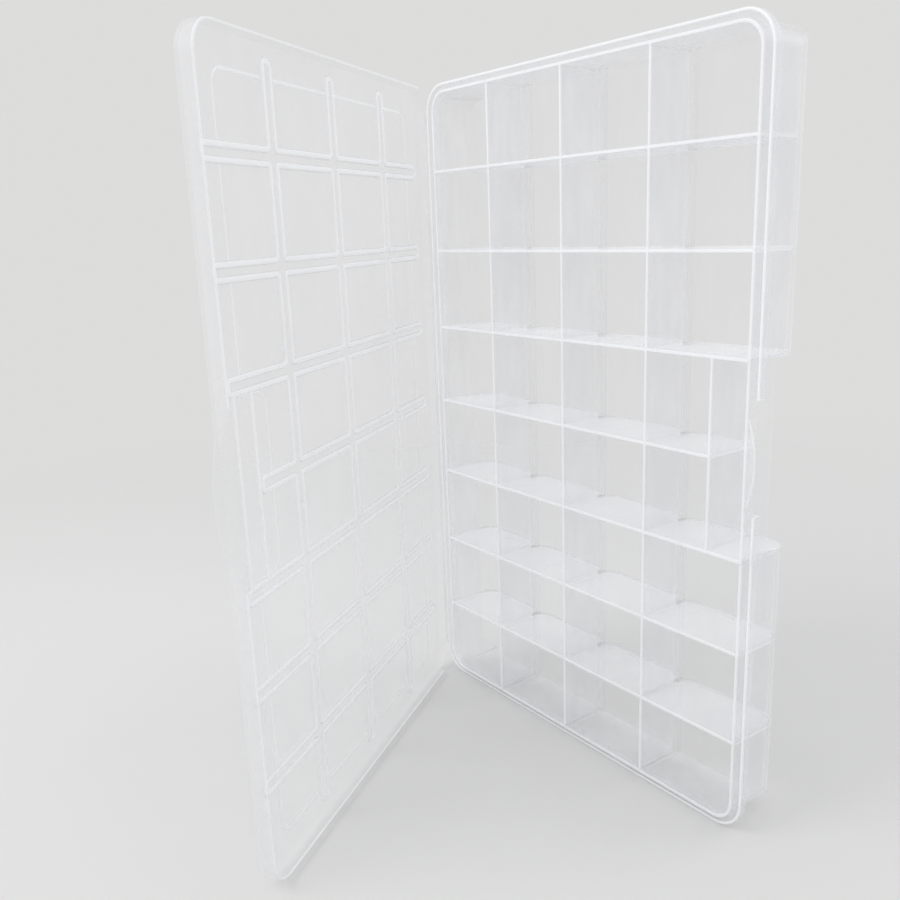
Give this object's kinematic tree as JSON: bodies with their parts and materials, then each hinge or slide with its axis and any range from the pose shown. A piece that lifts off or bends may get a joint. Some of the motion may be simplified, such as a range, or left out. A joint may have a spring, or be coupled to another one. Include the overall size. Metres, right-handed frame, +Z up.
{
  "type": "embroidery thread box",
  "caption": "Clear plastic thread box standing open: a deep tray of cells with a grip in one long side, and a shallow ribbed lid on a living hinge.",
  "frame": {"origin": "middle of the lower outer face of the tray's rim, the edge on which the open box stands", "axes": "+X along the tray from the hinge to the grip, +Y from the tray's open face to its floor, +Z up along the hinge"},
  "size_m": [0.2259, 0.2193, 0.3415],
  "materials": {
    "cell_wall": "clear polypropylene, slightly milky, smooth",
    "tray_floor": "clear polypropylene, smooth",
    "rim": "clear polypropylene, milky where thick",
    "lid_shell": "clear polypropylene, smooth",
    "lid_rib": "clear polypropylene, rounded ribs",
    "hinge_web": "thin folded polypropylene"
  },
  "bodies": {
    "tray": {"wall_hinge": "cell_wall", "wall_top": "cell_wall", "wall_bottom": "cell_wall", "wall_latch_upper": "cell_wall", "wall_latch_lower": "cell_wall", "corner_walls": "cell_wall", "handle_grip": "cell_wall", "notch_wall": "cell_wall", "partition_1": "cell_wall", "partition_2": "cell_wall", "partition_3": "cell_wall", "row_divider_1": "cell_wall", "row_divider_2": "cell_wall", "row_divider_3": "cell_wall", "row_divider_4": "cell_wall", "row_divider_5": "cell_wall", "row_divider_6": "cell_wall", "row_divider_7": "cell_wall", "floor_column_1": "tray_floor", "floor_column_2": "tray_floor", "floor_column_3": "tray_floor", "floor_column_4": "tray_floor", "rim_hinge": "rim", "rim_top": "rim", "rim_bottom": "rim", "rim_latch_upper": "rim", "rim_latch_lower": "rim", "rim_corners": "rim", "tray_thumb_tab": "rim", "tray_hinge_strip": "hinge_web"},
    "lid": {"lid_panel": "lid_shell", "lid_skirt_hinge": "lid_shell", "lid_skirt_top": "lid_shell", "lid_skirt_bottom": "lid_shell", "lid_skirt_latch_upper": "lid_shell", "lid_skirt_latch_lower": "lid_shell", "lid_skirt_corners": "lid_shell", "lid_thumb_tab": "lid_shell", "lid_column_rib_1": "lid_rib", "lid_column_rib_2": "lid_rib", "lid_column_rib_3": "lid_rib", "lid_row_rib_1": "lid_rib", "lid_row_rib_2": "lid_rib", "lid_row_rib_3": "lid_rib", "lid_row_rib_4": "lid_rib", "lid_row_rib_5": "lid_rib", "lid_row_rib_6": "lid_rib", "lid_row_rib_7": "lid_rib", "lid_notch_ridge": "lid_rib", "lid_grip_ridge": "lid_rib", "lid_bead": "lid_rib", "lid_hinge_strip": "hinge_web"}
  },
  "joints": [
    {"name": "lid_hinge", "type": "hinge", "parent": "tray", "child": "lid", "pos_m": [-0.11145, -0.0023, 0.17075], "axis": [0, 0, -1], "range_deg": [-55.3, 124.7]}
  ]
}
